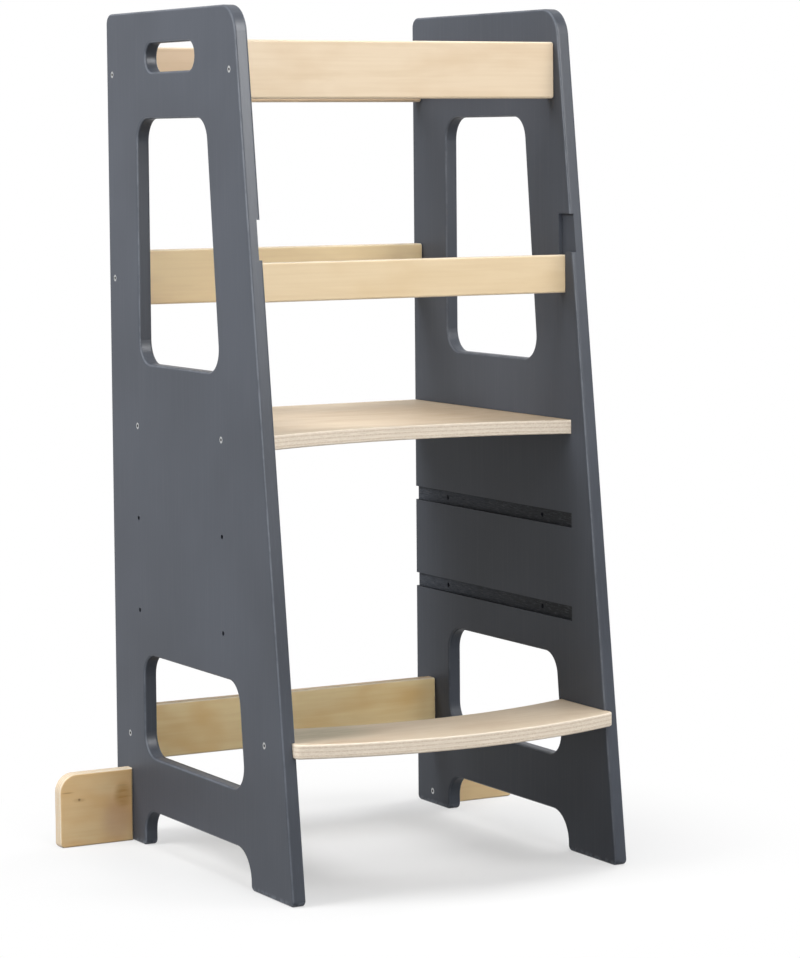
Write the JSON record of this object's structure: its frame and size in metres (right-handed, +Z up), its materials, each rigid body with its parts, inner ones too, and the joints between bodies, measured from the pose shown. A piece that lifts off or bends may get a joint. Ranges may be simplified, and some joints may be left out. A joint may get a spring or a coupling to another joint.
{
  "type": "toddler helper stool",
  "caption": "Tall step stool for a small child at a worktop: grey side panels, a bowed step, a standing platform, rails, and a front safety bar that lifts out.",
  "frame": {"origin": "middle of the footprint on the floor", "axes": "+Z up; -Y is the side that the child climbs; +X is the width, to the right when one faces the climbing side"},
  "size_m": [0.5666, 0.455, 0.9],
  "materials": {
    "panel_paint": "satin slate-grey paint on plywood",
    "birch": "clear-lacquered birch plywood, satin",
    "birch_deck": "clear-lacquered birch plywood, matt",
    "screw_steel": "bright zinc",
    "dowel_beech": "plain beech"
  },
  "bodies": {
    "stool_frame": {"side_panel_left": "panel_paint", "side_panel_right": "panel_paint", "top_front_rail": "birch", "top_back_rail": "birch", "middle_back_rail": "birch", "lower_back_rail": "birch", "standing_platform": "birch_deck", "lower_step": "birch_deck", "stabiliser_left": "birch", "stabiliser_right": "birch", "rail_screws": "screw_steel", "platform_screws": "screw_steel", "step_screws": "screw_steel", "stabiliser_screws": "screw_steel", "top_front_rail_dowels": "dowel_beech", "top_back_rail_dowels": "dowel_beech", "middle_back_rail_dowels": "dowel_beech", "lower_back_rail_dowels": "dowel_beech"},
    "safety_bar": {"safety_bar": "birch"}
  },
  "joints": [
    {"name": "safety_bar_lift", "type": "slide", "parent": "stool_frame", "child": "safety_bar", "axis": [0, 0, 1], "range_m": [0, 0.0432]}
  ]
}
